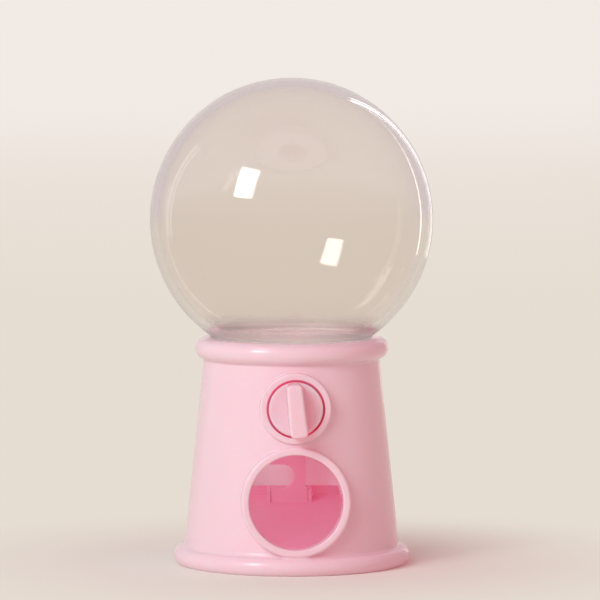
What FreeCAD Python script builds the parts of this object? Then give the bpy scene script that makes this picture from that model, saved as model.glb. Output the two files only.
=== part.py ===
# Mini gumball machine: a clear globe on a flared base, with a knob that turns a pocketed drum,
# and a round chute mouth below it.
# The origin is the middle of the foot, on the table. +Z is up and the front faces -Y. Millimetres.
import FreeCAD, Part
import math
import os

V = FreeCAD.Vector

# Base shell
base_height = 40.1       # table to the top of the rim
foot_radius = 19.35      # outside of the flared wall, carried down to the table
crown_radius = 15.15     # outside of the flared wall, carried up to the rim's top
shell_wall = 1.35
rim_bead = 1.9           # radius of the half-round rim bead
rim_proud = 1.95         # rim bead outside the flared wall
rim_blend = 0.35         # hollow fillet under the rim bead
rim_land = 1.45          # socket's wall to the middle of the rim bead
rim_ease = 0.3           # chamfer that leads the globe into its socket
foot_bead = 1.6          # radius of the half-round foot bead
foot_proud = 1.6         # foot bead outside the flared wall
foot_flat = 0.1          # depth that the foot bead is cut flat to stand on
foot_blend = 0.8         # hollow fillet above the foot bead

# Globe
globe_radius = 25.0
globe_wall = 1.5
collar_step = 0.8        # ledge of the straight collar that stands on the rim
collar_height = 0.35
collar_sweep = 0.4       # hollow fillet where the ball meets the collar
spigot_wall = 1.4        # wall of the plug that goes down into the rim
spigot_depth = 3.1
spigot_round = 0.3
spigot_fit = 0.15        # radial clearance of the plug in its socket
neck_round = 0.7         # rounding of the inner edge where the ball meets the plug

# Knob and its bezel
knob_drop = 11.2         # rim's top down to the knob's axis
knob_radius = 4.7
knob_gap = 0.35          # radial gap between the knob and its bezel
knob_proud = 0.2         # knob's rim in front of the bezel's face
knob_float = 0.15        # axial play on each side of the bezel's floor
knob_turn = 6.0          # degrees that the grip stands off upright
dish_radius = 4.3
dish_depth = 0.6         # of the shallow round hollow in the knob's face
grip_reach = 5.0         # grip in front of the knob's rim
grip_top_width = 2.65
grip_foot_width = 3.1
grip_inset = 0.05        # grip's ends inside the knob's edge
grip_corner = 0.7        # rounding of its four corners
grip_round = 0.5         # rounding of its front edges
bezel_width = 1.15
bezel_proud = 1.15       # bezel's face in front of the wall, at the knob's axis
bezel_round = 0.35
recess_depth = 2.2
recess_floor = 1.5

# Spindle and drum
spindle_radius = 2.0
spindle_flat = 1.5       # axis to the flat that keys the drum
spindle_grip = 5.0       # length of spindle inside the drum's hub
running_fit = 0.08
key_fit = 0.03
drum_radius = 6.0
drum_front_room = 1.3    # bezel's floor to the front of the drum
drum_wall = 1.2
hub_radius = 3.2
hub_ribs = 4
hub_rib = 0.9
pocket_radius = 4.3
pocket_floor = 3.5       # axis down to the pocket's floor
journal_radius = 2.4
journal_hole = 1.3       # screwdriver's way through the journal
journal_spare = 0.3      # journal past the back of the bracket

# Hopper
throat_radius = 4.7
throat_wall = 1.2
throat_skirt = 2.2       # drum's top down to the throat's lower edge
saddle_gap = 0.3         # hopper's saddle round the drum
throat_flare = 1.2       # chamfer that leads candy into the throat
tray_wall = 1.2
tray_slope = 2.5         # degrees that the tray falls to the throat
tray_lip = 0.4           # flat edge round the tray
flange_thickness = 1.2
flange_fit = 0.2         # hopper's flange inside the wall
spigot_gap = 0.2         # round and under the globe's plug
barb_reach = 0.45        # snaps that hold the flange from below
barb_height = 1.6
barb_sweep = 24.0
barb_count = 3

# Chute mouth and ramp
mouth_bottom = 4.5       # table to the lowest point of the mouth
chute_radius = 8.2
chute_lip = 1.35         # width of the collar round the mouth
chute_proud = 1.0        # collar's face in front of the wall
chute_round = 0.5
mouth_round = 0.3
collar_blend = 0.2       # hollow fillet where a collar leaves the wall
ramp_slope = 11.1        # degrees
ramp_step = 0.05         # ramp's front edge above the bottom of the mouth
ramp_thickness = 1.4
ramp_setback = 2.9       # collar's face back to the ramp's front edge
ramp_room = 1.95         # ramp's back edge to the wall behind it
ramp_fit = 0.25          # ramp's edge inside the wall
ramp_lip = 1.6           # rear lip above the ramp
ramp_lip_wall = 0.9
ramp_rib = 1.2
ramp_rib_offset = 7.0
ramp_rib_front_inset = 5.2
ramp_rib_back_inset = 3.3
lug_width = 0.6
lug_height = 2.2
lug_length = 2.6
lug_fit = 0.1

# Bearing bracket
bracket_gap = 0.4        # back of the drum to the bracket
bracket_thickness = 1.8
bracket_rise = 5.0       # drum's axis up to the bracket's top
foot_half = 3.3          # half the width of the bracket's foot
foot_rise = 2.6
post_right = 2.9
post_left = 1.0
post_window = 4.2        # height of the round cut beside the post
web_left = -4.6
eye_wall = 1.3
ear_fit = 0.2            # ears inside the wall
ear_room = 0.25          # round the bracket screws' heads, to the eye and to the drum
ear_radius = 1.8
ear_height = 2.2

# Bottom cover
cover_recess = 0.6       # cover's underside above the table
cover_thickness = 1.4
cover_fit = 0.2
cover_sink = 0.8         # depth of the screw heads' counterbores
catch_reach = 1.0        # lip of the shell that holds the cover's front edge
catch_sweep = 30.0
catch_play = 0.05
cover_edge = 0.8         # counterbores' distance from the cover's edge
boss_radius = 2.2
boss_web = 1.4           # web that ties a boss to the wall
boss_angles = (30.0, 150.0)
boss_gap = 0.4           # boss's top below the ramp
guide_height = 1.0       # ridges that locate the ramp's ribs
guide_wall = 0.8
guide_fit = 0.1

# Screws
head_radius = 1.7
head_height = 1.0
head_round = 0.4
shank_radius = 0.9
thread_fit = 0.02        # shank in its pilot hole
through_fit = 0.25       # shank in a clearance hole
head_fit = 0.2           # head in a counterbore
pilot_spare = 0.5        # pilot hole past the screw's tip
knob_screw_length = 7.0
bracket_screw_length = 3.6
cover_screw_length = 4.5

# Places that follow from the sizes above
flare = (foot_radius - crown_radius) / base_height
flare_angle = math.degrees(math.atan(flare))
rim_reach = crown_radius + rim_proud
foot_reach = foot_radius + foot_proud
axis_z = base_height - knob_drop
chute_height = mouth_bottom + chute_radius
far = 4 * foot_reach


def wall_radius(z):
    return foot_radius - flare * z


def inner_radius(z):
    return wall_radius(z) - shell_wall


socket_radius = rim_reach - rim_bead - rim_land
spigot_radius = socket_radius - spigot_fit
collar_radius = spigot_radius + collar_step
spigot_inner = spigot_radius - spigot_wall
spigot_bottom = base_height - spigot_depth
flange_top = spigot_bottom - spigot_gap
flange_bottom = flange_top - flange_thickness
globe_seat = base_height + collar_height
globe_z = globe_seat + math.sqrt(globe_radius ** 2 - collar_radius ** 2)
globe_inner = globe_radius - globe_wall

bracket_top = axis_z + bracket_rise
ear_bottom = bracket_top - ear_height
eye_radius = journal_radius + running_fit + eye_wall
head_low = ear_bottom - head_height - axis_z
ear_reach = math.sqrt(eye_radius ** 2 - head_low ** 2) + head_radius + ear_room
ear_y = math.sqrt((inner_radius(flange_top) - ear_fit - ear_radius) ** 2 - ear_reach ** 2)

bezel_face = -(wall_radius(axis_z) + bezel_proud)
recess_back = bezel_face + recess_depth
bezel_back = recess_back + recess_floor
recess_radius = knob_radius + knob_gap
bezel_radius = recess_radius + bezel_width
knob_rim = bezel_face - knob_proud
knob_back = recess_back - knob_float
hub_front = bezel_back + knob_float
drum_front = bezel_back + drum_front_room
drum_back = ear_y - head_radius - ear_room
spindle_end = hub_front + spindle_grip
web_thickness = -pocket_radius - spindle_end

bracket_front = drum_back + bracket_gap
bracket_back = bracket_front + bracket_thickness
bracket_mid = bracket_front + bracket_thickness / 2

cover_top = cover_recess + cover_thickness
cover_radius = inner_radius(cover_top) - cover_fit
boss_circle = cover_radius - cover_edge - head_fit - head_radius
boss_places = [(boss_circle * math.cos(math.radians(angle)), boss_circle * math.sin(math.radians(angle)))
               for angle in boss_angles]
chute_outer = chute_radius + chute_lip
chute_face = -(wall_radius(chute_height) + chute_proud)
ramp_front = chute_face + ramp_setback
ramp_back = inner_radius(chute_height) - ramp_room
ramp_rib_front = ramp_front + ramp_rib_front_inset
ramp_rib_back = ramp_back - ramp_rib_back_inset
ramp_tan = math.tan(math.radians(ramp_slope))
ramp_drop = ramp_thickness / math.cos(math.radians(ramp_slope))


def ramp_z(y):
    return chute_height - chute_radius + ramp_step + (y - ramp_front) * ramp_tan


def on_xz(a, b):
    return V(a, 0, b)


def on_yz(a, b):
    return V(0, a, b)


# A closed flat face. Each step is a point, or a pair of points for an arc: its middle and its end.
def outline(steps, plane=on_xz):
    edges = []
    here = plane(*steps[0])
    for step in steps[1:] + steps[:1]:
        if isinstance(step[0], tuple):
            middle, end = (plane(*point) for point in step)
            edges.append(Part.Arc(here, middle, end).toShape())
        else:
            end = plane(*step)
            edges.append(Part.LineSegment(here, end).toShape())
        here = end
    return Part.Face(Part.Wire(edges))


# A solid of revolution about Z, centred on the given direction when it is only a sector.
def turned(steps, sweep=360.0, heading=0.0):
    solid = outline(steps).revolve(V(0, 0, 0), V(0, 0, 1), sweep)
    solid.rotate(V(0, 0, 0), V(0, 0, 1), heading - sweep / 2)
    return solid


def plate_y(steps, front, back):
    face = outline(steps)
    face.translate(V(0, front, 0))
    return face.extrude(V(0, back - front, 0))


def plate_x(steps, left, right):
    face = outline(steps, on_yz)
    face.translate(V(left, 0, 0))
    return face.extrude(V(right - left, 0, 0))


def rod_y(radius, front, back, z=axis_z, x=0.0):
    return Part.makeCylinder(radius, back - front, V(x, front, z), V(0, 1, 0))


def rod_z(radius, bottom, top, x=0.0, y=0.0):
    return Part.makeCylinder(radius, top - bottom, V(x, y, bottom))


def block(x_range, y_range, z_range):
    low = V(x_range[0], y_range[0], z_range[0])
    size = [span[1] - span[0] for span in (x_range, y_range, z_range)]
    return Part.makeBox(*size, low)


# Rounds every edge that lies wholly where the test holds.
def rounded(solid, radius, test):
    edges = [edge for edge in solid.Edges if not edge.Degenerated]
    return solid.makeFillet(radius, [edge for edge in edges if all(map(test, edge.discretize(7)))])


def near(value, wanted):
    return abs(value - wanted) < 1e-3


def from_axis(point, z=axis_z):
    return math.hypot(point.x, point.z - z)


def turn_to_rest(solid):
    solid.rotate(V(0, 0, axis_z), V(0, -1, 0), knob_turn)
    return solid


# Where the flared wall's outside crosses a bead's circle: above its middle with side 1, below with -1.
def bead_meets_wall(centre_r, centre_z, radius, side):
    offset = foot_radius - centre_r
    a = 1 + flare ** 2
    b = -2 * (flare * offset + centre_z)
    c = offset ** 2 + centre_z ** 2 - radius ** 2
    z = (-b + side * math.sqrt(b * b - 4 * a * c)) / (2 * a)
    return (wall_radius(z), z)


# The space inside the flared wall, drawn in by a clearance.
def inside_wall(clearance=0.0, bottom=-1.0, top=flange_top):
    return turned([(0, bottom), (inner_radius(bottom) - clearance, bottom),
                   (inner_radius(top) - clearance, top), (0, top)])


def flared_wall():
    foot_r = foot_reach - foot_bead
    foot_z = foot_bead - foot_flat
    rim_r = rim_reach - rim_bead
    rim_z = base_height - rim_bead
    stand_r = foot_r + math.sqrt(foot_bead ** 2 - foot_z ** 2)
    foot_crease = bead_meets_wall(foot_r, foot_z, foot_bead, 1)
    rim_crease = bead_meets_wall(rim_r, rim_z, rim_bead, -1)
    wall = turned([
        (inner_radius(0), 0),
        (stand_r, 0),
        ((foot_reach, foot_z), foot_crease),
        rim_crease,
        ((rim_reach, rim_z), (rim_r, base_height)),
        (socket_radius + rim_ease, base_height),
        (socket_radius, base_height - rim_ease),
        (socket_radius, flange_top),
        (inner_radius(flange_top), flange_top),
    ])
    wall = rounded(wall, foot_blend, lambda p: near(p.z, foot_crease[1]))
    return rounded(wall, rim_blend, lambda p: near(p.z, rim_crease[1]))


# Everything in front of the chute collar's face, which leans back with the wall.
def ahead_of_chute():
    ahead = block((-far, far), (-far, 0), (-far, far))
    ahead.rotate(V(0, 0, 0), V(1, 0, 0), -flare_angle)
    ahead.translate(V(0, chute_face, chute_height))
    return ahead


def on_chute_face(point):
    return near(point.y, chute_face + flare * (point.z - chute_height))


def chute_bore():
    return rod_y(chute_radius, -far, 0, chute_height)


def chute_collar():
    collar = rod_y(chute_outer, -far, 0, chute_height).cut([ahead_of_chute(), inside_wall(), chute_bore()])
    edge = (chute_radius + chute_outer) / 2
    collar = rounded(collar, chute_round, lambda p: on_chute_face(p) and from_axis(p, chute_height) > edge)
    return rounded(collar, mouth_round, lambda p: on_chute_face(p) and from_axis(p, chute_height) < edge)


def knob_bezel():
    bezel = rod_y(bezel_radius, bezel_face, bezel_back)
    return rounded(bezel, bezel_round, lambda p: near(p.y, bezel_face))


def on_wall(point):
    return near(math.hypot(point.x, point.y), wall_radius(point.z))


def cover_boss(angle, place):
    top = ramp_z(place[1] - boss_radius) - ramp_drop - boss_gap
    reach = inner_radius(top) + shell_wall / 2
    web = block((boss_circle, reach), (-boss_web / 2, boss_web / 2), (cover_top, top))
    web.rotate(V(0, 0, 0), V(0, 0, 1), angle)
    return rod_z(boss_radius, cover_top, top, *place).fuse(web)


def boss_pilot(place):
    tip = cover_recess + cover_sink + cover_screw_length
    return rod_z(shank_radius + thread_fit, 0, tip + pilot_spare, *place)


def flange_barb(heading):
    low = flange_bottom - barb_height
    return turned([
        (inner_radius(low) + shell_wall / 2, low),
        (inner_radius(low), low),
        (inner_radius(flange_bottom) - barb_reach, flange_bottom),
        (inner_radius(flange_bottom) + shell_wall / 2, flange_bottom),
    ], barb_sweep, heading)


def cover_catch():
    top = cover_recess - catch_play
    return turned([
        (inner_radius(0) - catch_reach, 0),
        (inner_radius(0) + shell_wall / 2, 0),
        (inner_radius(top) + shell_wall / 2, top),
        (inner_radius(top) - catch_reach, top),
    ], catch_sweep, -90.0)


def base_shell():
    shell = flared_wall().cut(chute_bore()).fuse([chute_collar(), knob_bezel()]).removeSplitter()
    shell = rounded(shell, collar_blend, lambda p: on_wall(p) and (
        near(from_axis(p), bezel_radius) or near(from_axis(p, chute_height), chute_outer)))
    barbs = [flange_barb(90.0 + 360.0 * i / barb_count) for i in range(barb_count)]
    bosses = [cover_boss(angle, place) for angle, place in zip(boss_angles, boss_places)]
    shell = shell.fuse(barbs + bosses + [cover_catch()]).removeSplitter()
    return shell.cut([
        rod_y(recess_radius, -far, recess_back),
        rod_y(spindle_radius + running_fit, -far, 0),
    ] + [boss_pilot(place) for place in boss_places])


def globe():
    # Heights where the inner ball meets the plug's bore, and middle points of the two arcs
    bore_z = globe_z - math.sqrt(globe_inner ** 2 - spigot_inner ** 2)
    side = math.sqrt(0.5)
    ball = turned([
        (0, globe_z + globe_radius),
        ((globe_radius * side, globe_z + globe_radius * side), (globe_radius, globe_z)),
        ((globe_radius * side, globe_z - globe_radius * side), (collar_radius, globe_seat)),
        (collar_radius, base_height),
        (spigot_radius, base_height),
        (spigot_radius, spigot_bottom),
        (spigot_inner, spigot_bottom),
        (spigot_inner, bore_z),
        ((globe_inner * side, globe_z - globe_inner * side), (globe_inner, globe_z)),
        ((globe_inner * side, globe_z + globe_inner * side), (0, globe_z + globe_inner)),
    ])
    ball = rounded(ball, neck_round, lambda p: near(p.z, bore_z))
    ball = rounded(ball, collar_sweep, lambda p: near(p.z, globe_seat))
    return rounded(ball, spigot_round, lambda p: near(p.z, spigot_bottom))


def hopper():
    tube_outer = throat_radius + throat_wall
    tube_bottom = axis_z + drum_radius - throat_skirt
    upstand = spigot_inner - spigot_gap
    flare_r = throat_radius + throat_flare
    tray_top = base_height - spigot_gap
    tray_low = tray_top - (upstand - tray_lip - flare_r) * math.tan(math.radians(tray_slope))
    under_r = upstand - tray_wall
    under_z = tray_low - tray_wall
    cup = turned([
        (throat_radius, tube_bottom),
        (throat_radius, tray_low - throat_flare),
        (flare_r, tray_low),
        (upstand - tray_lip, tray_top),
        (upstand, tray_top),
        (upstand, flange_top),
        (inner_radius(flange_top) - flange_fit, flange_top),
        (inner_radius(flange_top) - flange_fit, flange_bottom),
        (under_r, flange_bottom),
        (under_r, under_z),
        (tube_outer, under_z),
        (tube_outer, tube_bottom),
    ])
    posts = [rod_z(ear_radius, bracket_top, flange_top, side * ear_reach, ear_y) for side in (-1, 1)]
    pilot_top = ear_bottom + bracket_screw_length + pilot_spare
    pilots = [rod_z(shank_radius + thread_fit, ear_bottom, pilot_top, side * ear_reach, ear_y)
              for side in (-1, 1)]
    saddle = rod_y(drum_radius + saddle_gap, -far, drum_back + bracket_gap)
    return cup.fuse(posts).removeSplitter().cut([saddle] + pilots)


def keyed_rod(radius, flat, front, back):
    rod = rod_y(radius, front, back)
    return rod.cut(block((-far, far), (front, back), (axis_z + flat, axis_z + far)))


def grip():
    front = knob_rim - grip_reach
    back = knob_rim + dish_depth
    reach = knob_radius - grip_inset
    bar = plate_y([
        (-grip_foot_width / 2, axis_z - knob_radius),
        (grip_foot_width / 2, axis_z - knob_radius),
        (grip_top_width / 2, axis_z + knob_radius),
        (-grip_top_width / 2, axis_z + knob_radius),
    ], front, back)
    bar = bar.common(rod_y(reach, front, back))
    corners = [edge for edge in bar.Edges if near(abs(edge.tangentAt(edge.FirstParameter).y), 1)]
    bar = bar.makeFillet(grip_corner, corners)
    return rounded(bar, grip_round, lambda p: near(p.y, front))


def knob():
    hollow = (dish_radius ** 2 + dish_depth ** 2) / (2 * dish_depth)
    dish = Part.makeSphere(hollow, V(0, knob_rim + dish_depth - hollow, axis_z))
    disc = rod_y(knob_radius, knob_rim, knob_back).cut(dish)
    spindle = rod_y(spindle_radius, knob_back, hub_front)
    key = keyed_rod(spindle_radius, spindle_flat, hub_front, spindle_end)
    pilot = rod_y(shank_radius + thread_fit, spindle_end - knob_screw_length, spindle_end)
    body = disc.fuse([spindle, key, grip()]).removeSplitter().cut(pilot)
    return turn_to_rest(body)


def drum():
    body = rod_y(drum_radius, drum_front, drum_back)
    core_back = spindle_end
    core = rod_y(drum_radius - drum_wall, drum_front, core_back).cut(rod_y(hub_radius, drum_front, core_back))
    for i in range(hub_ribs):
        rib = block((-hub_rib / 2, hub_rib / 2), (drum_front, core_back), (axis_z, axis_z + drum_radius))
        rib.rotate(V(0, 0, axis_z), V(0, 1, 0), 360.0 * (i + 0.5) / hub_ribs)
        core = core.cut(rib)
    bracket_end = bracket_back + journal_spare
    body = body.cut(core).fuse([
        rod_y(hub_radius, hub_front, drum_front),
        rod_y(journal_radius, drum_back, bracket_end),
    ]).removeSplitter()
    pocket_z = axis_z - pocket_floor + pocket_radius
    seat = spindle_end + web_thickness / 2
    body = body.cut([
        rod_z(pocket_radius, pocket_z, axis_z + 2 * drum_radius),
        Part.makeSphere(pocket_radius, V(0, 0, pocket_z)),
        keyed_rod(spindle_radius + key_fit, spindle_flat + key_fit, hub_front, spindle_end + key_fit),
        rod_y(shank_radius + through_fit, hub_front, 0),
        rod_y(head_radius + head_fit, seat, 0),
        rod_y(journal_hole, 0, far),
    ])
    return turn_to_rest(body)


# A pan-head screw that points up from its seat at the origin.
def screw(length):
    head = rounded(rod_z(head_radius, -head_height, 0), head_round, lambda p: near(p.z, -head_height))
    return head.fuse(rod_z(shank_radius, 0, length)).removeSplitter()


def screw_at(length, x, y, z):
    one = screw(length)
    one.translate(V(x, y, z))
    return one


def knob_screw():
    seat = spindle_end + web_thickness / 2
    one = screw(knob_screw_length)
    one.rotate(V(0, 0, 0), V(1, 0, 0), 90)
    one.translate(V(0, seat, axis_z))
    return turn_to_rest(one)


def bracket_screws():
    return Part.makeCompound([screw_at(bracket_screw_length, side * ear_reach, ear_y, ear_bottom)
                              for side in (-1, 1)])


def cover_screws():
    return Part.makeCompound([screw_at(cover_screw_length, *place, cover_recess + cover_sink)
                              for place in boss_places])


# Everything under the ramp's upper face.
def under_ramp():
    return plate_x([(-far, ramp_z(-far)), (far, ramp_z(far)), (far, -far), (-far, -far)], -far, far)


def chute_ramp():
    low = ramp_z(ramp_back) - ramp_drop
    lip_front = ramp_back - ramp_lip_wall
    lip_top = ramp_z(lip_front) + ramp_lip
    tray = plate_x([
        (ramp_front, ramp_z(ramp_front)),
        (lip_front, ramp_z(lip_front)),
        (lip_front, lip_top),
        (ramp_back, lip_top),
        (ramp_back, low),
        (ramp_front, ramp_z(ramp_front) - ramp_drop),
    ], -far, far)
    ribs = []
    for side in (-1, 1):
        middle = side * ramp_rib_offset
        ribs.append(plate_x([
            (ramp_rib_front, cover_top),
            (ramp_rib_back, cover_top),
            (ramp_rib_back, ramp_z(ramp_rib_back) - ramp_drop / 2),
            (ramp_rib_front, ramp_z(ramp_rib_front) - ramp_drop / 2),
        ], middle - ramp_rib / 2, middle + ramp_rib / 2))
    cross_z = ramp_z(ramp_rib_back - ramp_rib) - ramp_drop / 2
    ribs.append(block((-ramp_rib_offset, ramp_rib_offset), (ramp_rib_back - ramp_rib, ramp_rib_back),
                      (cover_top + guide_height + guide_fit, cross_z)))
    lugs = []
    for side in (-1, 1):
        near_x = side * (foot_half + lug_fit)
        far_x = near_x + side * lug_width
        front = bracket_mid - lug_length / 2
        back = bracket_mid + lug_length / 2
        lugs.append(plate_x([
            (front, ramp_z(front) - ramp_drop / 2),
            (back, ramp_z(back) - ramp_drop / 2),
            (back, ramp_z(back) + lug_height),
            (front, ramp_z(front) + lug_height),
        ], min(near_x, far_x), max(near_x, far_x)))
    ramp = tray.fuse(ribs + lugs).removeSplitter()
    return ramp.common(inside_wall(ramp_fit))


def bearing_bracket():
    foot_top = ramp_z(bracket_front) + foot_rise
    web_low = foot_top + post_window
    window_r = post_window / 2
    window_x = post_left - window_r
    web = plate_y([
        (-foot_half, 0),
        (foot_half, 0),
        (foot_half, foot_top),
        (post_right, foot_top),
        (post_right, bracket_top),
        (-post_right, bracket_top),
        (-post_right, axis_z),
        (web_left, axis_z),
        (web_left, web_low),
        (window_x, web_low),
        ((post_left, foot_top + window_r), (window_x, foot_top)),
        (-foot_half, foot_top),
    ], bracket_front, bracket_back).cut(under_ramp())
    eye = rod_y(eye_radius, bracket_front, bracket_back)
    bar = block((-ear_reach, ear_reach), (bracket_front, bracket_back), (ear_bottom, bracket_top))
    ears = [rod_z(ear_radius, ear_bottom, bracket_top, side * ear_reach, ear_y) for side in (-1, 1)]
    holes = [rod_z(shank_radius + through_fit, 0, far, side * ear_reach, ear_y) for side in (-1, 1)]
    bracket = web.fuse([eye, bar] + ears).removeSplitter()
    return bracket.cut([rod_y(journal_radius + running_fit, 0, far)] + holes)


def bottom_cover():
    plate = rod_z(cover_radius, cover_recess, cover_top)
    ridges = []
    for side in (-1, 1):
        for edge in (-1, 1):
            inner = side * ramp_rib_offset + edge * (ramp_rib / 2 + guide_fit)
            outer = inner + edge * guide_wall
            ridges.append(block((min(inner, outer), max(inner, outer)), (ramp_rib_front, ramp_rib_back),
                                (cover_recess, cover_top + guide_height)))
    cuts = []
    for place in boss_places:
        cuts.append(rod_z(shank_radius + through_fit, 0, cover_top, *place))
        cuts.append(rod_z(head_radius + head_fit, 0, cover_recess + cover_sink, *place))
    return plate.fuse(ridges).removeSplitter().cut(cuts)


pieces = {
    "base_shell": base_shell,
    "globe": globe,
    "hopper": hopper,
    "knob": knob,
    "dispensing_drum": drum,
    "knob_screw": knob_screw,
    "bearing_bracket": bearing_bracket,
    "bracket_screws": bracket_screws,
    "chute_ramp": chute_ramp,
    "bottom_cover": bottom_cover,
    "cover_screws": cover_screws,
}

os.makedirs("parts", exist_ok=True)
for name, make in pieces.items():
    solid = make()
    solid.exportStep("parts/" + name + ".step")
    print(name, len(solid.Solids), "solids,", round(solid.Volume, 2), "mm3, valid", solid.isValid())
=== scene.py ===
# Mini gumball machine: finishes, the clear globe, the screws, light and camera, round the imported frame
import math
import bmesh
import bpy
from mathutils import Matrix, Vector


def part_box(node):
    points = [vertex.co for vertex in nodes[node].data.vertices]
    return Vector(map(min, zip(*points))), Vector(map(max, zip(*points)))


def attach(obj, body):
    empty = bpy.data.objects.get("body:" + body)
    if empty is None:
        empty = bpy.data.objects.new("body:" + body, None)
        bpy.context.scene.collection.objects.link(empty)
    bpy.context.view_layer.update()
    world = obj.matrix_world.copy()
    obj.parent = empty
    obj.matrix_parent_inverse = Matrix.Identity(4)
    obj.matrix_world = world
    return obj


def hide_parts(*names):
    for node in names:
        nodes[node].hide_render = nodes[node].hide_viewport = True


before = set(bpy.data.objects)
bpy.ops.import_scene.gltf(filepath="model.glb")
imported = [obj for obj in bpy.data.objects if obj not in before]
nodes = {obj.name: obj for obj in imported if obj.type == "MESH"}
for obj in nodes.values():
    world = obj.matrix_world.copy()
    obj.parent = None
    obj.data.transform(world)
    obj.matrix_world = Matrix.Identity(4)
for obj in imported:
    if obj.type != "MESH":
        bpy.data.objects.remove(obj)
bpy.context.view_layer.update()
mm = 0.001


def hexLinear(code):
    # sRGB hex to the linear colour that shaders read
    parts = [int(code[i:i + 2], 16) / 255 for i in (1, 3, 5)]
    return [c / 12.92 if c <= 0.04045 else ((c + 0.055) / 1.055) ** 2.4 for c in parts] + [1.0]


def addNode(tree, kind, inputs=None, **settings):
    # one node with its settings; an input is a value, or a socket to link
    node = tree.nodes.new(kind)
    for name, value in settings.items():
        setattr(node, name, value)
    for key, value in (inputs or {}).items():
        if isinstance(value, bpy.types.NodeSocket):
            tree.links.new(value, node.inputs[key])
        else:
            node.inputs[key].default_value = value
    return node


def newMaterial(name):
    material = bpy.data.materials.new(name)
    material.use_nodes = True
    material.node_tree.nodes.clear()
    return material, material.node_tree


def newObject(name, data):
    obj = bpy.data.objects.new(name, data)
    bpy.context.scene.collection.objects.link(obj)
    return obj


# A colour Mix node's sockets, by number because its other types share their names
mixFirst, mixSecond, mixResult = 6, 7, 2

# Injection-moulded polystyrene, cast through with pink. Light sinks in a little and comes back warmer, and
# some goes right through the thin wall and lights the hollow behind it. The polished tool leaves a gloss
# with a faint waviness.
shellLook = {
    "pink": "#f4d6e0",
    "flowPink": "#f1cfdb",    # where the melt front cooled last
    "flowMm": 16.0,
    "gloss": (0.16, 0.24),
    "hazeMm": 2.5,            # patches of finer and duller polish
    "hazeSpan": (0.3, 0.7),   # part of the noise that runs from fine to dull
    "peelMm": 1.6,            # waviness of the polish
    "peelHeightMm": 0.003,
    "ior": 1.57,
    "soak": 0.4,              # share of the light that sinks in
    "soakMm": 1.2,
    "soakReach": (1.0, 0.32, 0.38),    # red goes further than green and blue
    "through": "#f9f4f6",     # what a face of a thin wall lets through of a lamp's light
    "thick": "#8c3048",       # and where it is thick
    # painted glow: a deep, bright pink painted in the narrow gap round the knob, standing in for light that
    # comes through the plastic into it
    "slotPaintedGlow": "#f07aa2",    # deep in the gap round the knob
    # painted light: the shell's inner faces get a paler pink, standing in for daylight that shines through
    # the thin wall from behind
    "insidePaintedBacklight": "#fcf0f3",  # inner faces of the wall, which daylight pales from behind
}
knobLook = dict(shellLook, soak=0.8, soakMm=1.8, through="#f6b8c8", thick="#a03a52")
trayLook = dict(shellLook, pink="#f8e5ea", flowPink="#f5dde4", gloss=(0.05, 0.08), hazeMm=4.0)
innerLook = dict(shellLook, pink="#f2a4c0", flowPink="#ef9cba", gloss=(0.28, 0.38), peelMm=2.4,
                 through="#f8d3de")


def mouldedStyrene(name, look, letIn=None):
    material, tree = newMaterial(name)
    place = addNode(tree, "ShaderNodeTexCoord").outputs["Object"]
    flow = addNode(tree, "ShaderNodeTexNoise", {
        "Vector": place, "Scale": 1 / (look["flowMm"] * mm), "Detail": 2.0, "Distortion": 0.6})
    colour = addNode(tree, "ShaderNodeMix", {
        "Factor": flow.outputs["Fac"], mixFirst: hexLinear(look["pink"]),
        mixSecond: hexLinear(look["flowPink"])}, data_type="RGBA").outputs[mixResult]
    passes = hexLinear(look["through"])
    if letIn:
        thin, painted = letIn(tree, place)
        # painted light: the tones that the test returns are painted where it picks, a paler inside for
        # daylight through the wall and a deep pink glow in the knob's gap
        for tone, where in painted.items():
            colour = addNode(tree, "ShaderNodeMix", {
                "Factor": where, mixFirst: colour, mixSecond: hexLinear(look[tone])},
                data_type="RGBA").outputs[mixResult]
        passes = addNode(tree, "ShaderNodeMix", {
            "Factor": thin, mixFirst: hexLinear(look["thick"]), mixSecond: passes},
            data_type="RGBA").outputs[mixResult]
    haze = addNode(tree, "ShaderNodeTexNoise", {
        "Vector": place, "Scale": 1 / (look["hazeMm"] * mm), "Detail": 4.0})
    polish = addNode(tree, "ShaderNodeMapRange", {
        "Value": haze.outputs["Fac"], "From Min": look["hazeSpan"][0], "From Max": look["hazeSpan"][1],
        "To Min": look["gloss"][0], "To Max": look["gloss"][1]})
    peel = addNode(tree, "ShaderNodeTexNoise", {
        "Vector": place, "Scale": 1 / (look["peelMm"] * mm), "Detail": 1.0})
    bump = addNode(tree, "ShaderNodeBump", {
        "Height": peel.outputs["Fac"], "Distance": look["peelHeightMm"] * mm, "Strength": 1.0})
    skin = addNode(tree, "ShaderNodeBsdfPrincipled", {
        "Base Color": colour, "Roughness": polish.outputs["Result"], "Normal": bump.outputs["Normal"],
        "IOR": look["ior"], "Subsurface Weight": look["soak"], "Subsurface Scale": look["soakMm"] * mm,
        "Subsurface Radius": look["soakReach"]})
    passed = addNode(tree, "ShaderNodeBsdfTransparent", {"Color": passes})
    rays = addNode(tree, "ShaderNodeLightPath")
    both = addNode(tree, "ShaderNodeMixShader", {
        0: rays.outputs["Is Shadow Ray"], 1: skin.outputs["BSDF"], 2: passed.outputs["BSDF"]})
    addNode(tree, "ShaderNodeOutputMaterial", {"Surface": both.outputs["Shader"]})
    return material
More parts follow.
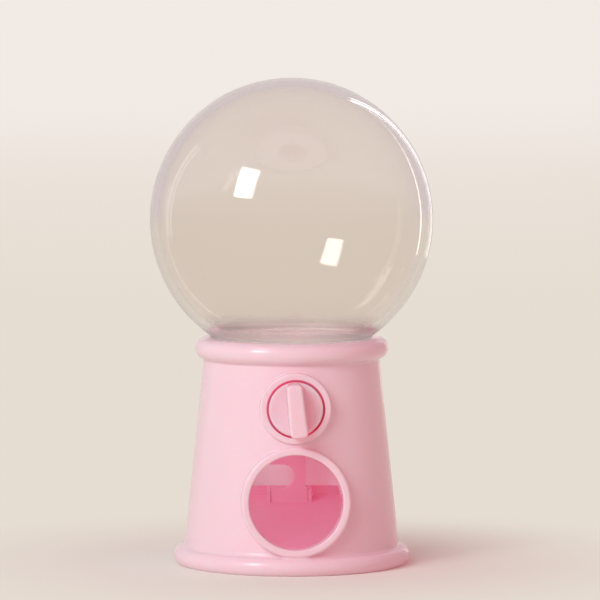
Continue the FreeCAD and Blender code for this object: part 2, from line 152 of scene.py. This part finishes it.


# Lamps light the hollows through the walls, and outside the shell and knob still throw shadows. A ray to a
# lamp passes the faces found here, and any face that it leaves by, in the look's through tone, and their
# other faces in its thick tone. The other pink pieces pass the through tone all over. The same tests place
# painted light: the shell's inner faces painted paler for daylight through the wall, and a deep pink glow
# painted in the gap round the knob.
wallSize = {
    "footRadius": 18.65 * mm,     # middle of the flared wall, at the table and at the rim
    "crownRadius": 14.45 * mm,
    "mouthHeight": 12.7 * mm,     # chute mouth's middle, and its bore with a little to spare
    "mouthRadius": 8.4 * mm,
    "boreRoom": 0.45 * mm,        # bezel's bore round the knob, with a little to spare
    "edgeRoom": 0.08 * mm,        # depth of the knob's rim that counts as its edge
    "gripReach": 5.1 * mm,        # grip's front back to just behind the knob's rim
}
knobLow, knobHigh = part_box("knob")
knobMiddle = (knobLow + knobHigh) / 2
knobRadius = (knobHigh.x - knobLow.x) / 2


def offAxis(tree, place, middle, across):
    # distance from the line through the middle, measured across it
    offset = addNode(tree, "ShaderNodeVectorMath", {0: place, 1: middle}, operation="SUBTRACT")
    flat = addNode(tree, "ShaderNodeVectorMath", {0: offset.outputs["Vector"], 1: across},
                   operation="MULTIPLY")
    away = addNode(tree, "ShaderNodeVectorMath", {0: flat.outputs["Vector"]}, operation="LENGTH")
    return away.outputs["Value"]


def either(tree, *tests):
    # faces that a ray leaves by, and those that pass one of the tests
    found = addNode(tree, "ShaderNodeNewGeometry").outputs["Backfacing"]
    for test in tests:
        found = addNode(tree, "ShaderNodeMath", {0: found, 1: test.outputs["Value"]},
                        operation="MAXIMUM").outputs["Value"]
    return found


def shellLetsIn(tree, place):
    parts = addNode(tree, "ShaderNodeSeparateXYZ", {"Vector": place})
    middle = addNode(tree, "ShaderNodeMapRange", {
        "Value": parts.outputs["Z"], "From Max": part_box("base_shell")[1].z,
        "To Min": wallSize["footRadius"], "To Max": wallSize["crownRadius"]})
    inner = addNode(tree, "ShaderNodeMath", {
        0: offAxis(tree, place, (0, 0, 0), (1, 1, 0)), 1: middle.outputs["Result"]}, operation="LESS_THAN")
    front = addNode(tree, "ShaderNodeMath", {0: parts.outputs["Y"], 1: 0.0}, operation="LESS_THAN")
    holes = []
    for centre, radius in ((knobMiddle, knobRadius + wallSize["boreRoom"]),
                           ((0, 0, wallSize["mouthHeight"]), wallSize["mouthRadius"])):
        within = addNode(tree, "ShaderNodeMath", {0: offAxis(tree, place, centre, (1, 0, 1)), 1: radius},
                         operation="LESS_THAN")
        holes.append(addNode(tree, "ShaderNodeMath", {
            0: front.outputs["Value"], 1: within.outputs["Value"]}, operation="MULTIPLY"))
    # the bore round the knob also takes the painted deep pink glow of the gap
    bore, mouth = holes
    # painted light: inner faces, away from the chute mouth, take the paler inside tone for daylight through
    # the wall
    inside = addNode(tree, "ShaderNodeMath", {0: inner.outputs["Value"], 1: mouth.outputs["Value"]},
                     operation="SUBTRACT", use_clamp=True)
    painted = {"insidePaintedBacklight": inside.outputs["Value"], "slotPaintedGlow": bore.outputs["Value"]}
    return either(tree, inner, bore, mouth), painted


def knobLetsIn(tree, place):
    depth = addNode(tree, "ShaderNodeSeparateXYZ", {"Vector": place}).outputs["Y"]
    behind = addNode(tree, "ShaderNodeMath", {0: depth, 1: knobLow.y + wallSize["gripReach"]},
                     operation="GREATER_THAN")
    outer = addNode(tree, "ShaderNodeMath", {
        0: offAxis(tree, place, knobMiddle, (1, 0, 1)), 1: knobRadius - wallSize["edgeRoom"]},
        operation="GREATER_THAN")
    # painted glow: the knob's rim behind the grip takes the deep pink painted in the gap
    edge = addNode(tree, "ShaderNodeMath", {0: behind.outputs["Value"], 1: outer.outputs["Value"]},
                   operation="MULTIPLY")
    return either(tree, edge), {"slotPaintedGlow": edge.outputs["Value"]}


# Clear general-purpose polystyrene, moulded thin: almost no colour, but a faint lilac where the eye looks
# along the wall, a hard gloss, and a slow waviness that bends reflections. Rays to the lamps pass straight
# through.
globeLook = {
    "tint": "#f9f6f1",
    "depth": (0.79, 0.72, 0.76, 1.0),    # colour that a long way through the wall takes on
    "depthPerMetre": 100.0,
    "ior": 1.58,
    "roughness": 0.015,
    "scuff": 0.45,            # dulled neck and plug, from being pushed into the socket and pulled out
    "scuffLow": 1.0 * mm,     # above the rim
    "scuffHigh": 2.6 * mm,
    "waveMm": 9.0,
    "waveHeightMm": 0.012,
    "shade": "#fdfdfc",       # what each face lets through of a lamp's light
}


def clearStyrene():
    material, tree = newMaterial("clearMouldedStyrene")
    place = addNode(tree, "ShaderNodeTexCoord").outputs["Object"]
    wave = addNode(tree, "ShaderNodeTexNoise", {
        "Vector": place, "Scale": 1 / (globeLook["waveMm"] * mm), "Detail": 1.0})
    bump = addNode(tree, "ShaderNodeBump", {
        "Height": wave.outputs["Fac"], "Distance": globeLook["waveHeightMm"] * mm, "Strength": 1.0})
    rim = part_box("base_shell")[1].z
    worn = addNode(tree, "ShaderNodeMapRange", {
        "Value": addNode(tree, "ShaderNodeSeparateXYZ", {"Vector": place}).outputs["Z"],
        "From Min": rim + globeLook["scuffLow"], "From Max": rim + globeLook["scuffHigh"],
        "To Min": globeLook["scuff"], "To Max": globeLook["roughness"]})
    wall = addNode(tree, "ShaderNodeBsdfPrincipled", {
        "Base Color": hexLinear(globeLook["tint"]), "Roughness": worn.outputs["Result"],
        "IOR": globeLook["ior"], "Transmission Weight": 1.0, "Normal": bump.outputs["Normal"]})
    passed = addNode(tree, "ShaderNodeBsdfTransparent", {"Color": hexLinear(globeLook["shade"])})
    rays = addNode(tree, "ShaderNodeLightPath")
    both = addNode(tree, "ShaderNodeMixShader", {
        0: rays.outputs["Is Shadow Ray"], 1: wall.outputs["BSDF"], 2: passed.outputs["BSDF"]})
    depth = addNode(tree, "ShaderNodeVolumeAbsorption", {
        "Color": globeLook["depth"], "Density": globeLook["depthPerMetre"]})
    addNode(tree, "ShaderNodeOutputMaterial", {
        "Surface": both.outputs["Shader"], "Volume": depth.outputs["Volume"]})
    return material


# Zinc-plated steel: a cool grey metal, dulled unevenly by the plating bath.
screwLook = {"zinc": "#c3c6ca", "darkZinc": "#9fa3a9", "gloss": (0.24, 0.42), "bathMm": 0.5}


def zincPlatedSteel():
    material, tree = newMaterial("zincPlatedSteel")
    place = addNode(tree, "ShaderNodeTexCoord").outputs["Object"]
    bath = addNode(tree, "ShaderNodeTexNoise", {
        "Vector": place, "Scale": 1 / (screwLook["bathMm"] * mm), "Detail": 3.0})
    colour = addNode(tree, "ShaderNodeMix", {
        "Factor": bath.outputs["Fac"], mixFirst: hexLinear(screwLook["zinc"]),
        mixSecond: hexLinear(screwLook["darkZinc"])}, data_type="RGBA")
    polish = addNode(tree, "ShaderNodeMapRange", {
        "Value": bath.outputs["Fac"], "To Min": screwLook["gloss"][0], "To Max": screwLook["gloss"][1]})
    metal = addNode(tree, "ShaderNodeBsdfPrincipled", {
        "Base Color": colour.outputs[mixResult], "Roughness": polish.outputs["Result"], "Metallic": 1.0})
    addNode(tree, "ShaderNodeOutputMaterial", {"Surface": metal.outputs["BSDF"]})
    return material


shellPink = mouldedStyrene("glossyMouldedStyrene", shellLook, shellLetsIn)
knobPink = mouldedStyrene("solidMouldedStyrene", knobLook, knobLetsIn)
trayPink = mouldedStyrene("polishedMouldedStyrene", trayLook)
innerPink = mouldedStyrene("satinMouldedStyrene", innerLook)
clearWall = clearStyrene()
zincSteel = zincPlatedSteel()

finishes = {
    shellPink: ("base_shell",),
    knobPink: ("knob",),
    trayPink: ("hopper", "bottom_cover"),
    innerPink: ("dispensing_drum", "bearing_bracket", "chute_ramp"),
}
for finish, names in finishes.items():
    for name in names:
        nodes[name].data.materials.clear()
        nodes[name].data.materials.append(finish)
print("finishes:", ", ".join(finish.name for finish in (*finishes, clearWall, zincSteel)))


# Turned shapes: a profile of (radius, height, rounding) points is eased at its corners and swept round Z
turnPorts = {"Hub Radius": "Float", "Corner Steps": "Int", "Turn Steps": "Int", "Weld": "Float",
             "Finish": "Material"}
poleWeld = 0.001 * mm     # closes the poles


def newTree(name, inputs):
    tree = bpy.data.node_groups.new(name, "GeometryNodeTree")
    ports = tree.interface
    ports.new_socket("Geometry", in_out="INPUT", socket_type="NodeSocketGeometry")
    for label, kind in inputs.items():
        ports.new_socket(label, in_out="INPUT", socket_type="NodeSocket" + kind)
    ports.new_socket("Geometry", in_out="OUTPUT", socket_type="NodeSocketGeometry")
    return tree, addNode(tree, "NodeGroupInput").outputs


def profileMesh(name, points):
    # drawn as x and -y, which the sweep stands upright
    mesh = bpy.data.meshes.new(name)
    mesh.from_pydata([(r, -z, 0) for r, z, rounding in points],
                     [(i, i + 1) for i in range(len(points) - 1)], [])
    eased = mesh.attributes.new("rounding", "FLOAT", "POINT")
    eased.data.foreach_set("value", [rounding for r, z, rounding in points])
    return newObject(name, mesh)


def turnedTree():
    tree, given = newTree("turnedOnAxis", turnPorts)
    line = addNode(tree, "GeometryNodeMeshToCurve", {"Mesh": given["Geometry"]})
    rounding = addNode(tree, "GeometryNodeInputNamedAttribute", {"Name": "rounding"}, data_type="FLOAT")
    eased = addNode(tree, "GeometryNodeFilletCurve", {
        "Curve": line.outputs["Curve"], "Count": given["Corner Steps"],
        "Radius": rounding.outputs["Attribute"], "Limit Radius": True}, mode="POLY")
    inward = addNode(tree, "ShaderNodeMath", {0: given["Hub Radius"], 1: -1.0}, operation="MULTIPLY")
    shift = addNode(tree, "ShaderNodeCombineXYZ", {"X": inward.outputs["Value"]})
    profile = addNode(tree, "GeometryNodeTransform", {
        "Geometry": eased.outputs["Curve"], "Translation": shift.outputs["Vector"]})
    hub = addNode(tree, "GeometryNodeCurvePrimitiveCircle", {
        "Resolution": given["Turn Steps"], "Radius": given["Hub Radius"]})
    swept = addNode(tree, "GeometryNodeCurveToMesh", {
        "Curve": hub.outputs["Curve"], "Profile Curve": profile.outputs["Geometry"]})
    welded = addNode(tree, "GeometryNodeMergeByDistance", {
        "Geometry": swept.outputs["Mesh"], "Distance": given["Weld"]})
    smooth = addNode(tree, "GeometryNodeSetShadeSmooth", {"Geometry": welded.outputs["Geometry"]})
    real = addNode(tree, "GeometryNodeRealizeInstances", {"Geometry": smooth.outputs["Geometry"]})
    finish = addNode(tree, "GeometryNodeSetMaterial", {
        "Geometry": real.outputs["Geometry"], "Material": given["Finish"]})
    addNode(tree, "NodeGroupOutput", {"Geometry": finish.outputs["Geometry"]})
    return tree


def grow(source, tree, values, name):
    # runs the tree on the source, and keeps the result as a plain mesh with its faces outwards
    maker = source.modifiers.new("shape", "NODES")
    maker.node_group = tree
    for port in tree.interface.items_tree:
        if port.in_out == "INPUT" and port.name in values:
            maker[port.identifier] = values[port.name]
    evaluated = source.evaluated_get(bpy.context.evaluated_depsgraph_get())
    mesh = bpy.data.meshes.new_from_object(evaluated)
    source.modifiers.remove(maker)
    bpy.data.objects.remove(source)
    shape = bmesh.new()
    shape.from_mesh(mesh)
    bmesh.ops.recalc_face_normals(shape, faces=shape.faces)
    shape.to_mesh(mesh)
    shape.free()
    mesh.name = name
    return newObject(name, mesh)


turned = turnedTree()

# The globe: one ball with a straight collar and a plug, all in one clear wall
globeSize = {
    "wall": 1.5 * mm,
    "collarRadius": 14.4 * mm,
    "collarSweep": 0.4 * mm,
    "plugRadius": 13.6 * mm,
    "plugWall": 1.0 * mm,
    "plugRound": 0.3 * mm,
    "ledgeRound": 0.3 * mm,
    "neckRound": 3.0 * mm,
    "seatGap": 0.02 * mm,     # keeps the ledge off the rim it stands on
    "arcSteps": 120,
    "blendArc": 1.2 * mm,     # length of arc that the collar's sweep is drawn on
    "turnSteps": 256,
    "cornerSteps": 8,
    "hubRadius": 1 * mm,      # circle that the profile is swept along
}


def ballArc(radius, centre, edge, steps, blend):
    # from the pole down to just short of where the ball meets a smaller radius
    last = math.pi / 2 + math.acos(edge / radius) - blend / radius
    angles = [last * i / steps for i in range(steps + 1)]
    return [(radius * math.sin(a), centre + radius * math.cos(a), 0.0) for a in angles]


def globeProfile(size):
    low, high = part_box("globe")
    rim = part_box("base_shell")[1].z
    radius = (high.x - low.x) / 2
    centre = high.z - radius
    inner = radius - size["wall"]
    bore = size["plugRadius"] - size["plugWall"]
    outside = ballArc(radius, centre, size["collarRadius"], size["arcSteps"], size["blendArc"])
    inside = ballArc(inner, centre, bore, size["arcSteps"], size["blendArc"])
    collarTop = centre - math.sqrt(radius ** 2 - size["collarRadius"] ** 2)
    neck = [
        (size["collarRadius"], collarTop, size["collarSweep"]),
        (size["collarRadius"], rim + size["seatGap"], size["ledgeRound"]),
        (size["plugRadius"], rim + size["seatGap"], size["ledgeRound"]),
        (size["plugRadius"], low.z, size["plugRound"]),
        (bore, low.z, size["plugRound"]),
        (bore, centre - math.sqrt(inner ** 2 - bore ** 2), size["neckRound"]),
    ]
    return outside + neck + inside[::-1]


globe = grow(profileMesh("globeProfile", globeProfile(globeSize)), turned, {
    "Hub Radius": globeSize["hubRadius"], "Corner Steps": globeSize["cornerSteps"],
    "Turn Steps": globeSize["turnSteps"], "Weld": poleWeld, "Finish": clearWall}, "clear_globe")
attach(globe, "globe")
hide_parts("globe")
print("globe:", len(globe.data.polygons), "faces")

# Cross-head screws, in the places and at the lengths that the frame gives
screwSize = {
    "headRadius": 1.7 * mm,
    "headHeight": 1.0 * mm,
    "domeRound": 0.4 * mm,
    "underRound": 0.05 * mm,
    "coreRadius": 0.68 * mm,
    "crestRadius": 0.9 * mm,
    "pitch": 0.6 * mm,
    "crestShape": (0.2, 0.5, 0.8),    # where a crest starts, peaks and ends, as shares of the pitch
    "tip": 0.7 * mm,          # length of the point
    "recessWidth": 0.45 * mm,
    "recessSpan": 1.9 * mm,
    "recessDepth": 0.55 * mm,
    "turnSteps": 48,
    "cornerSteps": 5,
    "hubRadius": 0.1 * mm,
}


def screwProfile(size, length):
    # head down, point up: the thread is a row of crests on the core
    head = [(0, -size["headHeight"], 0), (size["headRadius"], -size["headHeight"], size["domeRound"]),
            (size["headRadius"], 0, size["underRound"]), (size["coreRadius"], 0, 0)]
    turns = int((length - size["tip"]) / size["pitch"])
    radii = (size["coreRadius"], size["crestRadius"], size["coreRadius"])
    thread = []
    for i in range(turns):
        for radius, share in zip(radii, size["crestShape"]):
            thread.append((radius, i * size["pitch"] + share * size["pitch"], 0))
    return head + thread + [(size["coreRadius"], length - size["tip"], 0), (0, length, 0)]


def screwTree():
    tree, given = newTree("crossHeadScrews", {
        **turnPorts, "Head Height": "Float", "Recess Width": "Float", "Recess Span": "Float",
        "Recess Depth": "Float", "Count": "Int", "First": "Vector", "Step": "Vector", "Turn": "Rotation"})
    one = addNode(tree, "GeometryNodeGroup", node_tree=turned)
    for label in ("Geometry", *turnPorts):
        tree.links.new(given[label], one.inputs[label])
    # two crossed bars, half of each below the head
    depth = addNode(tree, "ShaderNodeMath", {0: given["Recess Depth"], 1: 2.0}, operation="MULTIPLY")
    slot = addNode(tree, "ShaderNodeCombineXYZ", {
        "X": given["Recess Span"], "Y": given["Recess Width"], "Z": depth.outputs["Value"]})
    crossed = addNode(tree, "ShaderNodeCombineXYZ", {
        "X": given["Recess Width"], "Y": given["Recess Span"], "Z": depth.outputs["Value"]})
    under = addNode(tree, "ShaderNodeMath", {0: given["Head Height"], 1: -1.0}, operation="MULTIPLY")
    lower = addNode(tree, "ShaderNodeCombineXYZ", {"Z": under.outputs["Value"]})
    cutters = []
    for size in (slot, crossed):
        bar = addNode(tree, "GeometryNodeMeshCube", {"Size": size.outputs["Vector"]})
        cutters.append(addNode(tree, "GeometryNodeTransform", {
            "Geometry": bar.outputs["Mesh"], "Translation": lower.outputs["Vector"]}))
    recessed = one
    for cutter in cutters:
        recessed = addNode(tree, "GeometryNodeMeshBoolean", {
            "Mesh 1": recessed.outputs[0], "Mesh 2": cutter.outputs["Geometry"]},
            operation="DIFFERENCE", solver="EXACT")
    places = addNode(tree, "GeometryNodeMeshLine", {
        "Count": given["Count"], "Start Location": given["First"], "Offset": given["Step"]})
    row = addNode(tree, "GeometryNodeInstanceOnPoints", {
        "Points": places.outputs["Mesh"], "Instance": recessed.outputs["Mesh"], "Rotation": given["Turn"]})
    real = addNode(tree, "GeometryNodeRealizeInstances", {"Geometry": row.outputs["Instances"]})
    finish = addNode(tree, "GeometryNodeSetMaterial", {
        "Geometry": real.outputs["Geometry"], "Material": given["Finish"]})
    addNode(tree, "NodeGroupOutput", {"Geometry": finish.outputs["Geometry"]})
    return tree


crossHeads = screwTree()


def fitScrews(node, body, count, name, alongY=False):
    # the head is at the low end of Z, or at the high end of Y
    low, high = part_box(node)
    middle = (low + high) / 2
    if alongY:
        length = high.y - low.y - screwSize["headHeight"]
        first = (middle.x, high.y - screwSize["headHeight"], middle.z)
    else:
        length = high.z - low.z - screwSize["headHeight"]
        first = (low.x + screwSize["headRadius"], middle.y, low.z + screwSize["headHeight"])
    profile = profileMesh(name + "Profile", screwProfile(screwSize, length))
    row = grow(profile, crossHeads, {
        "Hub Radius": screwSize["hubRadius"], "Corner Steps": screwSize["cornerSteps"],
        "Turn Steps": screwSize["turnSteps"], "Weld": poleWeld, "Finish": zincSteel,
        "Head Height": screwSize["headHeight"], "Recess Width": screwSize["recessWidth"],
        "Recess Span": screwSize["recessSpan"], "Recess Depth": screwSize["recessDepth"],
        "Count": count, "First": first, "Step": (high.x - low.x - 2 * screwSize["headRadius"], 0, 0),
        "Turn": (math.pi / 2 if alongY else 0.0, 0, 0)}, name)
    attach(row, body)
    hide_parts(node)
    return row


screws = [
    fitScrews("cover_screws", "base", 2, "cover_screw_pair"),
    fitScrews("bracket_screws", "base", 2, "bracket_screw_pair"),
    fitScrews("knob_screw", "dispenser", 1, "spindle_screw", alongY=True),
]
print("screws:", ", ".join(f"{s.name} {len(s.data.polygons)} faces" for s in screws))

# Stage: a pale floor that melts into a pale backdrop, and a room on the other sides. The camera, glass and
# gloss see one tone of the room, and the object is lit by its two others.
stageLook = {
    "floor": "#f6f3ed",
    "backdrop": "#e6ddd2",
    "backdropHigh": "#f2eae5",
    "fadeFrom": 0.005,        # metres from the axis where the floor starts to melt into the backdrop
    "fadeTo": 0.08,
    "backdropFrom": 0.40,     # and where the backdrop turns to its high tone
    "backdropTo": 2.5,
    "backdropEdge": (0.93, 1.0),    # cosine from straight behind, over which it gives way to the room
    "radius": 6.0,
    "segments": 128,
    "roomLeft": "#a3a2a1",    # light from the left, and from the right, where it has a pink cast
    "roomRight": "#ca727c",
    "roomTurn": (0.0, 0.55),  # heading to the right over which one turns to the other
    "roomSeen": "#e0d6d7",    # what camera, glass and gloss see of the room
}


def surround(tree, heading):
    # high backdrop straight behind the object, and the room on all other sides
    behind = addNode(tree, "ShaderNodeMapRange", {
        "Value": addNode(tree, "ShaderNodeSeparateXYZ", {"Vector": heading}).outputs["Y"],
        "From Min": stageLook["backdropEdge"][0], "From Max": stageLook["backdropEdge"][1]},
        interpolation_type="SMOOTHSTEP")
    return addNode(tree, "ShaderNodeMix", {
        "Factor": behind.outputs["Result"], mixFirst: hexLinear(stageLook["roomSeen"]),
        mixSecond: hexLinear(stageLook["backdropHigh"])}, data_type="RGBA").outputs[mixResult]


def floorMaterial():
    material, tree = newMaterial("paleFloor")
    place = addNode(tree, "ShaderNodeTexCoord").outputs["Object"]
    away = addNode(tree, "ShaderNodeVectorMath", {0: place}, operation="LENGTH")
    fade = addNode(tree, "ShaderNodeMapRange", {
        "Value": away.outputs["Value"], "From Min": stageLook["fadeFrom"], "From Max": stageLook["fadeTo"]},
        interpolation_type="SMOOTHSTEP")
    rise = addNode(tree, "ShaderNodeMapRange", {
        "Value": away.outputs["Value"], "From Min": stageLook["backdropFrom"],
        "From Max": stageLook["backdropTo"]}, interpolation_type="SMOOTHSTEP")
    heading = addNode(tree, "ShaderNodeVectorMath", {0: place}, operation="NORMALIZE")
    tone = addNode(tree, "ShaderNodeMix", {
        "Factor": rise.outputs["Result"], mixFirst: hexLinear(stageLook["backdrop"]),
        mixSecond: surround(tree, heading.outputs["Vector"])}, data_type="RGBA")
    near = addNode(tree, "ShaderNodeBsdfDiffuse", {"Color": hexLinear(stageLook["floor"])})
    distant = addNode(tree, "ShaderNodeEmission", {"Color": tone.outputs[mixResult]})
    both = addNode(tree, "ShaderNodeMixShader", {
        0: fade.outputs["Result"], 1: near.outputs["BSDF"], 2: distant.outputs["Emission"]})
    addNode(tree, "ShaderNodeOutputMaterial", {"Surface": both.outputs["Shader"]})
    return material


def makeFloor():
    disc = bmesh.new()
    bmesh.ops.create_circle(disc, cap_ends=True, segments=stageLook["segments"], radius=stageLook["radius"])
    mesh = bpy.data.meshes.new("floor")
    disc.to_mesh(mesh)
    disc.free()
    mesh.materials.append(floorMaterial())
    obj = newObject("floor", mesh)


def makeWorld():
    world = bpy.data.worlds.new("room")
    bpy.context.scene.world = world
    world.use_nodes = True
    tree = world.node_tree
    tree.nodes.clear()
    heading = addNode(tree, "ShaderNodeTexCoord").outputs["Generated"]
    parts = addNode(tree, "ShaderNodeSeparateXYZ", {"Vector": heading})
    across = addNode(tree, "ShaderNodeMapRange", {
        "Value": parts.outputs["X"], "From Min": stageLook["roomTurn"][0],
        "From Max": stageLook["roomTurn"][1]}, interpolation_type="SMOOTHSTEP")
    tone = addNode(tree, "ShaderNodeMix", {
        "Factor": across.outputs["Result"], mixFirst: hexLinear(stageLook["roomLeft"]),
        mixSecond: hexLinear(stageLook["roomRight"])}, data_type="RGBA")
    room = addNode(tree, "ShaderNodeBackground", {"Color": tone.outputs[mixResult], "Strength": 1.0})
    seen = addNode(tree, "ShaderNodeBackground", {"Color": surround(tree, heading), "Strength": 1.0})
    rays = addNode(tree, "ShaderNodeLightPath")
    clear = addNode(tree, "ShaderNodeMath", {
        0: rays.outputs["Is Camera Ray"], 1: rays.outputs["Is Transmission Ray"]}, operation="MAXIMUM")
    shown = addNode(tree, "ShaderNodeMath", {
        0: clear.outputs["Value"], 1: rays.outputs["Is Glossy Ray"]}, operation="MAXIMUM")
    both = addNode(tree, "ShaderNodeMixShader", {
        0: shown.outputs["Value"], 1: room.outputs["Background"], 2: seen.outputs["Background"]})
    addNode(tree, "ShaderNodeOutputWorld", {"Surface": both.outputs["Shader"]})


makeFloor()
makeWorld()

# Camera: a long lens from a little above, slightly to the left of the front
cameraView = {
    "reach": 0.867,
    "height": 0.112,
    "azimuth": -2.5,
    "lens": 295.2,
    "sensor": 36.0,
    "nearest": 0.05,
    "aimRight": 1.50 * mm,
    "aimHeight": 46.6 * mm,
}
turn = math.radians(cameraView["azimuth"])
rightWard = Vector((math.cos(turn), math.sin(turn), 0))
cameraWard = Vector((math.sin(turn), -math.cos(turn), 0))


def makeCamera():
    camera = bpy.data.cameras.new("camera")
    camera.lens = cameraView["lens"]
    camera.sensor_width = cameraView["sensor"]
    camera.clip_start = cameraView["nearest"]
    obj = newObject("camera", camera)
    obj.location = cameraWard * cameraView["reach"] + Vector((0, 0, cameraView["height"]))
    aim = rightWard * cameraView["aimRight"] + Vector((0, 0, cameraView["aimHeight"]))
    obj.rotation_euler = (aim - obj.location).to_track_quat("-Z", "Y").to_euler()
    bpy.context.scene.camera = obj


makeCamera()

# Lamps: a softbox from the upper left front, a larger scrim beside it that shows in no reflection, and two
# thin strips from behind that edge the right and left sides. A heading is right, towards the camera and up.
lamps = {
    "softbox": {"heading": (-0.60, 0.67, 0.53), "reach": 0.90, "size": (0.24, 0.36),
                "watts": 2.30, "shows": True},
    "scrim": {"heading": (-0.42, 0.80, 0.50), "reach": 0.90, "size": (0.40, 0.40),
              "watts": 2.60, "shows": False},
    "rightStrip": {"heading": (0.36, -0.93, 0.24), "reach": 0.33, "size": (0.012, 0.26),
                   "watts": 0.020, "shows": True},
    "leftStrip": {"heading": (-0.88, -0.45, 0.24), "reach": 0.33, "size": (0.02, 0.26),
                  "watts": 0.014, "shows": True},
}
lampAim = Vector((0, 0, 0.055))    # the middle that they all point at


def makeLamp(name, setup):
    across, toward, up = setup["heading"]
    lamp = bpy.data.lights.new(name, "AREA")
    lamp.shape = "RECTANGLE"
    lamp.size, lamp.size_y = setup["size"]
    lamp.energy = setup["watts"]
    obj = newObject(name, lamp)
    heading = (rightWard * across + cameraWard * toward + Vector((0, 0, up))).normalized()
    obj.location = lampAim + heading * setup["reach"]
    obj.rotation_euler = (-heading).to_track_quat("-Z", "Y").to_euler()
    obj.visible_camera = False
    obj.visible_glossy = setup["shows"]
    obj.visible_transmission = setup["shows"]


for name, setup in lamps.items():
    makeLamp(name, setup)
bpy.context.scene.view_settings.view_transform = "Standard"
print("stage:", len(lamps), "lamps")
